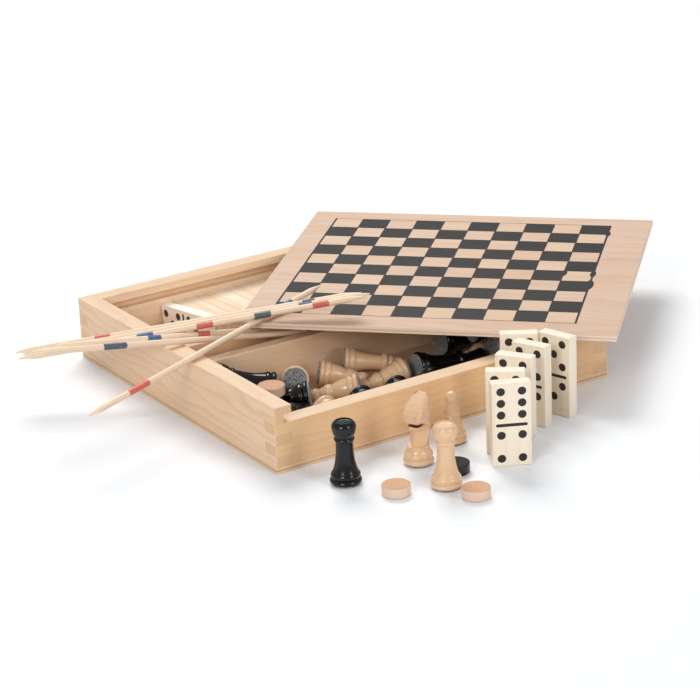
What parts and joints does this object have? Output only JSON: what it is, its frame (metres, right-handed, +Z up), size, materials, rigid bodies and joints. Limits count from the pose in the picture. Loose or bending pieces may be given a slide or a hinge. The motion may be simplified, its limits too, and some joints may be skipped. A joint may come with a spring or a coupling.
{
  "type": "games compendium box",
  "caption": "Square finger-jointed wooden games box with a chequered board lid lying askew, holding chess, draughts, dominoes and pick-up sticks, with loose pieces in front.",
  "frame": {"origin": "middle of the case's underside, on the surface that it stands on", "axes": "+Z up, +X along the low front wall towards the right wall, +Y towards the back wall"},
  "size_m": [0.3647, 0.3051, 0.047],
  "materials": {
    "pine": "planed pine with a clear finish",
    "plywood": "birch plywood with a printed chequered board on the lid",
    "domino_wood": "pale wood with printed pips",
    "stick_wood": "round birch sticks with painted bands",
    "light_wood": "turned wood with a clear lacquer",
    "tan_draught": "turned wood with a matt finish",
    "black_lacquer": "glossy black lacquer on turned wood",
    "felt": "grey speckled felt"
  },
  "bodies": {
    "case": {"back_wall": "pine", "base_panel": "plywood", "bay_black_bishops": "black_lacquer", "bay_black_king": "black_lacquer", "bay_black_knights": "black_lacquer", "bay_black_pawns": "black_lacquer", "bay_black_queen": "black_lacquer", "bay_black_rook": "black_lacquer", "bay_domino": "domino_wood", "bay_felt_pads": "felt", "bay_light_bishops": "light_wood", "bay_light_draught": "tan_draught", "bay_light_king": "light_wood", "bay_light_knight": "light_wood", "bay_light_pawns": "light_wood", "bay_light_queen": "light_wood", "bay_light_rook": "light_wood", "channel_sticks": "stick_wood", "divider_back": "pine", "divider_front": "pine", "filed_dominoes": "domino_wood", "front_wall": "pine", "left_wall": "pine", "right_wall": "pine", "stacked_black_draughts": "black_lacquer", "stacked_light_draughts": "tan_draught"},
    "black_rook_body": {"black_rook": "black_lacquer", "black_rook_felt": "felt"},
    "light_rook_body": {"light_rook": "light_wood", "light_rook_felt": "felt"},
    "light_pawn_body": {"light_pawn": "light_wood", "light_pawn_felt": "felt"},
    "light_knight_body": {"light_knight": "light_wood", "light_knight_felt": "felt"},
    "black_draught_body": {"black_draught": "black_lacquer"},
    "light_draught_left_body": {"light_draught_left": "tan_draught"},
    "light_draught_right_body": {"light_draught_right": "tan_draught"},
    "domino_1_body": {"domino_1": "domino_wood"},
    "domino_2_body": {"domino_2": "domino_wood"},
    "domino_3_body": {"domino_3": "domino_wood"},
    "domino_4_body": {"domino_4": "domino_wood"},
    "domino_5_body": {"domino_5": "domino_wood"},
    "domino_6_body": {"domino_6": "domino_wood"},
    "lid": {"sliding_lid": "plywood"},
    "stick_into_channel_back_body": {"stick_into_channel_back": "stick_wood"},
    "stick_into_channel_front_body": {"stick_into_channel_front": "stick_wood"},
    "stick_diagonal_body": {"stick_diagonal": "stick_wood"},
    "stick_crossing_front_body": {"stick_crossing_front": "stick_wood"},
    "stick_crossing_middle_body": {"stick_crossing_middle": "stick_wood"},
    "stick_crossing_back_body": {"stick_crossing_back": "stick_wood"}
  },
  "joints": [
    {"name": "black_rook_lift", "type": "slide", "parent": "case", "child": "black_rook_body", "axis": [0, 0, 1], "range_m": [0, 0.06]},
    {"name": "light_rook_lift", "type": "slide", "parent": "case", "child": "light_rook_body", "axis": [0, 0, 1], "range_m": [0, 0.06]},
    {"name": "light_pawn_lift", "type": "slide", "parent": "case", "child": "light_pawn_body", "axis": [0, 0, 1], "range_m": [0, 0.06]},
    {"name": "light_knight_lift", "type": "slide", "parent": "case", "child": "light_knight_body", "axis": [0, 0, 1], "range_m": [0, 0.06]},
    {"name": "black_draught_lift", "type": "slide", "parent": "case", "child": "black_draught_body", "axis": [0, 0, 1], "range_m": [0, 0.06]},
    {"name": "light_draught_left_lift", "type": "slide", "parent": "case", "child": "light_draught_left_body", "axis": [0, 0, 1], "range_m": [0, 0.06]},
    {"name": "light_draught_right_lift", "type": "slide", "parent": "case", "child": "light_draught_right_body", "axis": [0, 0, 1], "range_m": [0, 0.06]},
    {"name": "domino_1_lift", "type": "slide", "parent": "case", "child": "domino_1_body", "axis": [0, 0, 1], "range_m": [0, 0.06]},
    {"name": "domino_2_lift", "type": "slide", "parent": "case", "child": "domino_2_body", "axis": [0, 0, 1], "range_m": [0, 0.06]},
    {"name": "domino_3_lift", "type": "slide", "parent": "case", "child": "domino_3_body", "axis": [0, 0, 1], "range_m": [0, 0.06]},
    {"name": "domino_4_lift", "type": "slide", "parent": "case", "child": "domino_4_body", "axis": [0, 0, 1], "range_m": [0, 0.06]},
    {"name": "domino_5_lift", "type": "slide", "parent": "case", "child": "domino_5_body", "axis": [0, 0, 1], "range_m": [0, 0.06]},
    {"name": "domino_6_lift", "type": "slide", "parent": "case", "child": "domino_6_body", "axis": [0, 0, 1], "range_m": [0, 0.06]},
    {"name": "lid_lift", "type": "slide", "parent": "case", "child": "lid", "axis": [0, 0, 1], "range_m": [0, 0.06]},
    {"name": "stick_into_channel_back_slide", "type": "slide", "parent": "case", "child": "stick_into_channel_back_body", "axis": [-0.9884, 0.057, 0.1408], "range_m": [0, 0.08]},
    {"name": "stick_into_channel_front_slide", "type": "slide", "parent": "case", "child": "stick_into_channel_front_body", "axis": [-0.9869, 0.0207, 0.1601], "range_m": [0, 0.08]},
    {"name": "stick_diagonal_slide", "type": "slide", "parent": "lid", "child": "stick_diagonal_body", "axis": [0.9412, 0.3326, 0.0593], "range_m": [0, 0.05]},
    {"name": "stick_crossing_front_slide", "type": "slide", "parent": "lid", "child": "stick_crossing_front_body", "axis": [0, 0, 1], "range_m": [0, 0.05]},
    {"name": "stick_crossing_middle_slide", "type": "slide", "parent": "lid", "child": "stick_crossing_middle_body", "axis": [0, 0, 1], "range_m": [0, 0.05]},
    {"name": "stick_crossing_back_slide", "type": "slide", "parent": "lid", "child": "stick_crossing_back_body", "axis": [0, 0, 1], "range_m": [0, 0.05]}
  ]
}
